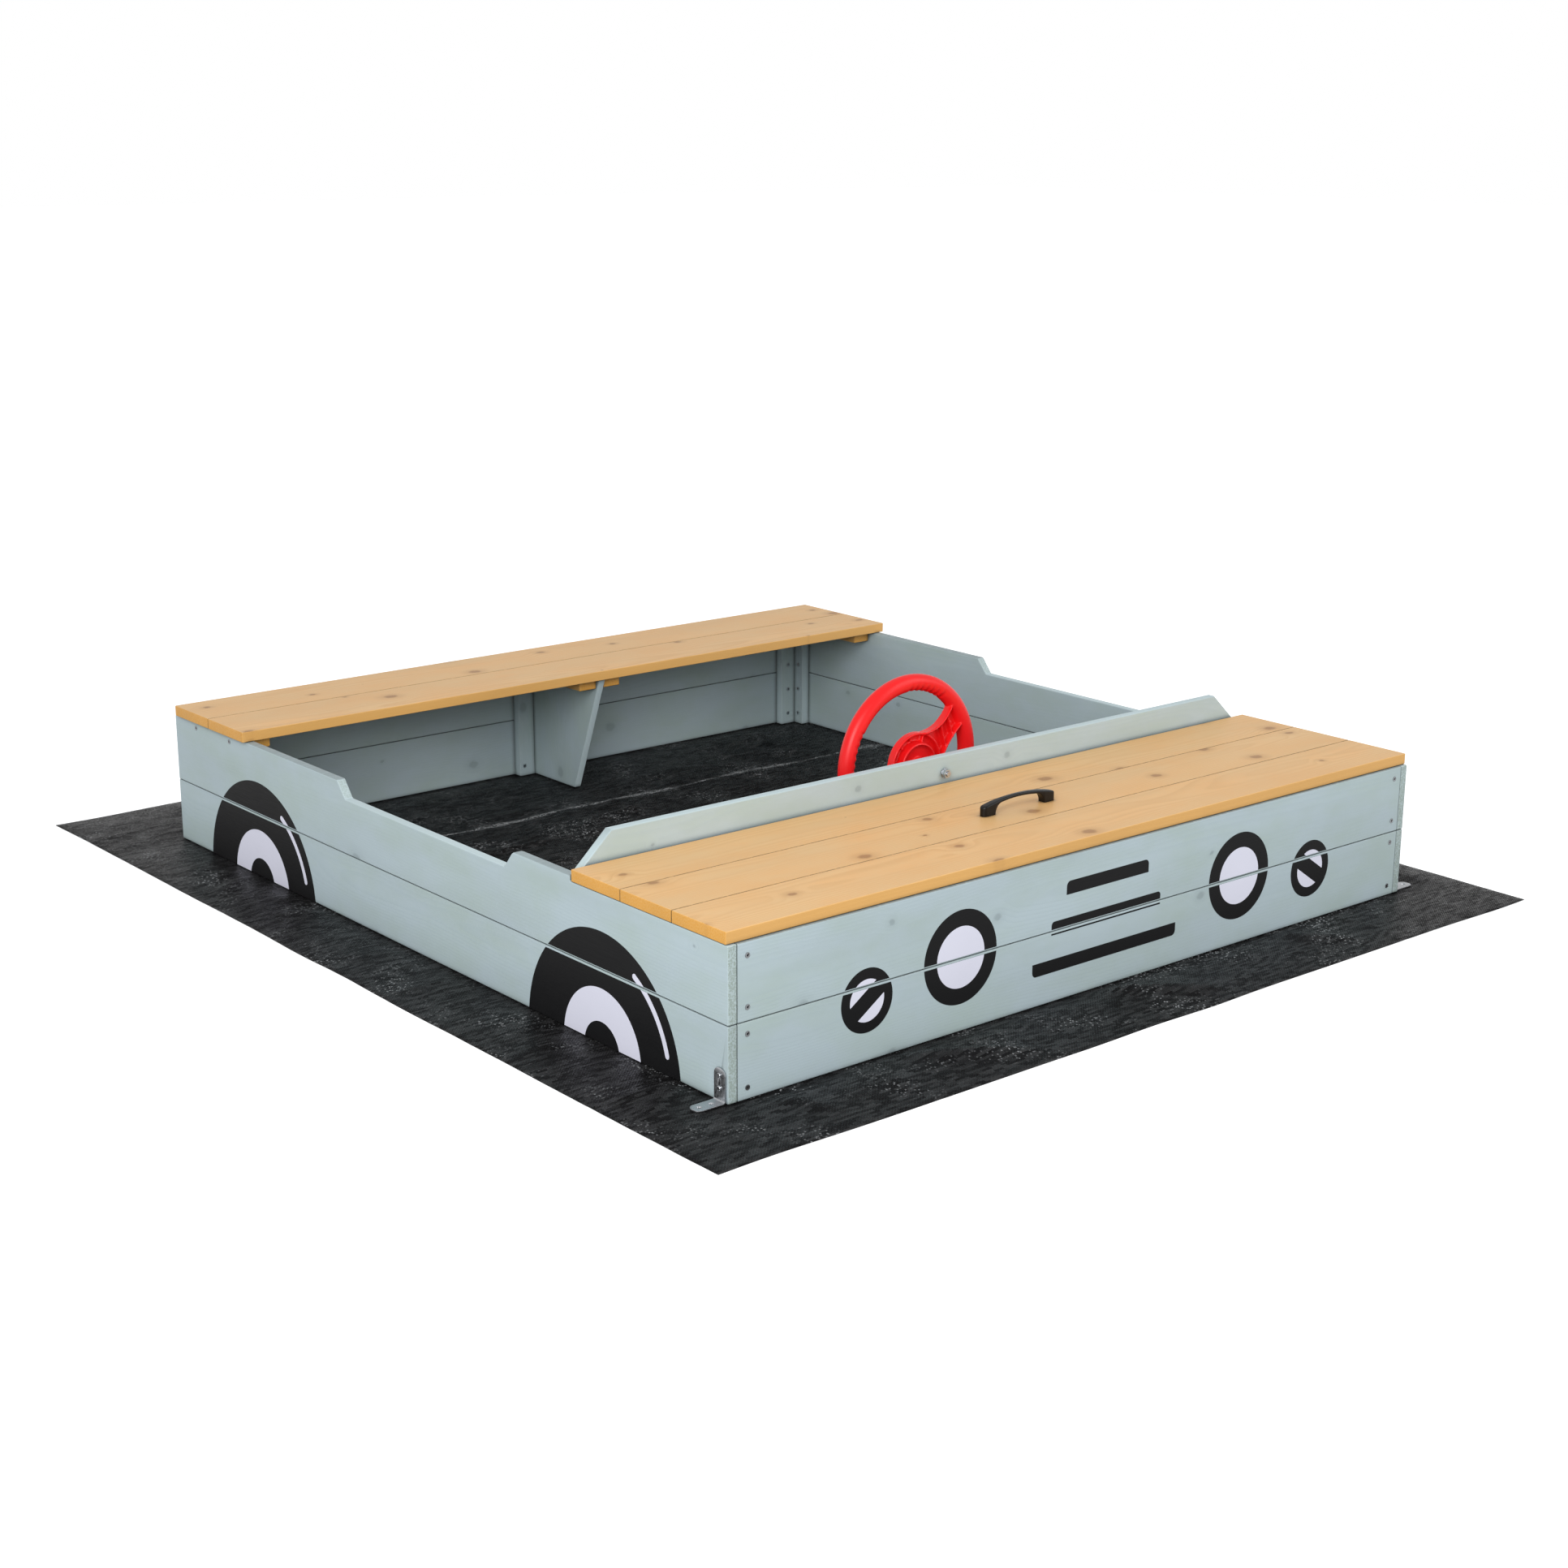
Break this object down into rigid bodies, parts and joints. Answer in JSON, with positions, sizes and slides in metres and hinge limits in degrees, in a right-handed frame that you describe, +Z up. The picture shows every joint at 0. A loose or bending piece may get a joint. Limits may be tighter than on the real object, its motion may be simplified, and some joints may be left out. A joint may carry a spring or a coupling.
{
  "type": "sandbox with cover",
  "caption": "Car-shaped timber sandpit on a woven ground sheet, with a lift-off storage lid, a dashboard with a steering wheel, and a rear bench.",
  "frame": {"origin": "on the ground at the middle of the ground sheet", "axes": "-Y towards the front of the car, +X to the right seen from the front, +Z up"},
  "size_m": [1.774, 2.02, 0.417],
  "materials": {
    "painted_board": "matt grey-blue stain on spruce boards",
    "painted_batten": "matt grey-blue stain on spruce battens",
    "honey_timber": "satin honey stain on pine",
    "woven_sheet": "black woven tape, slightly shiny",
    "red_plastic": "satin moulded",
    "black_plastic": "satin moulded",
    "grey_plastic": "matt moulded",
    "zinc_steel": "bright zinc plate",
    "film_dark": "satin printed film",
    "film_light": "satin printed film"
  },
  "bodies": {
    "box": {"ground_sheet": "woven_sheet", "left_board_lower": "painted_board", "left_board_upper": "painted_board", "right_board_lower": "painted_board", "right_board_upper": "painted_board", "front_board_lower": "painted_board", "front_board_upper": "painted_board", "dash_board_lower": "painted_board", "dash_board_middle": "painted_board", "dash_board_top": "painted_board", "rear_board_lower": "painted_board", "rear_board_upper": "painted_board", "bench_gusset": "painted_board", "front_side_batten_left": "painted_batten", "front_wall_batten_left": "painted_batten", "front_side_batten_right": "painted_batten", "front_wall_batten_right": "painted_batten", "rear_side_batten_left": "painted_batten", "rear_wall_batten_left": "painted_batten", "rear_side_batten_right": "painted_batten", "rear_wall_batten_right": "painted_batten", "dash_batten_left": "painted_batten", "dash_batten_right": "painted_batten", "rear_centre_batten": "painted_batten", "bench_board_front": "honey_timber", "bench_board_rear": "honey_timber", "bench_cleat_left": "honey_timber", "bench_cleat_right": "honey_timber", "bench_cleat_centre_left": "honey_timber", "bench_cleat_centre_right": "honey_timber", "wheel_bolt": "zinc_steel", "wheel_washer": "zinc_steel", "dash_washer": "zinc_steel", "dash_nut": "zinc_steel", "wheel_bush": "grey_plastic", "angle_bracket_front_left": "zinc_steel", "bracket_screw_front_left_low": "zinc_steel", "bracket_screw_front_left_high": "zinc_steel", "angle_bracket_front_right": "zinc_steel", "bracket_screw_front_right_low": "zinc_steel", "bracket_screw_front_right_high": "zinc_steel"},
    "lid": {"lid_board_front": "honey_timber", "lid_board_middle": "honey_timber", "lid_board_rear": "honey_timber", "lid_batten_left": "honey_timber", "lid_batten_right": "honey_timber", "lid_handle": "black_plastic", "handle_screw_left": "zinc_steel", "handle_screw_right": "zinc_steel"},
    "wheel": {"steering_wheel": "red_plastic", "wheel_cap": "red_plastic"}
  },
  "joints": [
    {"name": "lid_lift", "type": "slide", "parent": "box", "child": "lid", "axis": [0, -0.7071, 0.7071], "range_m": [0, 0.15]},
    {"name": "wheel_turn", "type": "hinge", "parent": "box", "child": "wheel", "pos_m": [0, -0.398, 0.267], "axis": [0, 1, 0], "continuous": true}
  ]
}
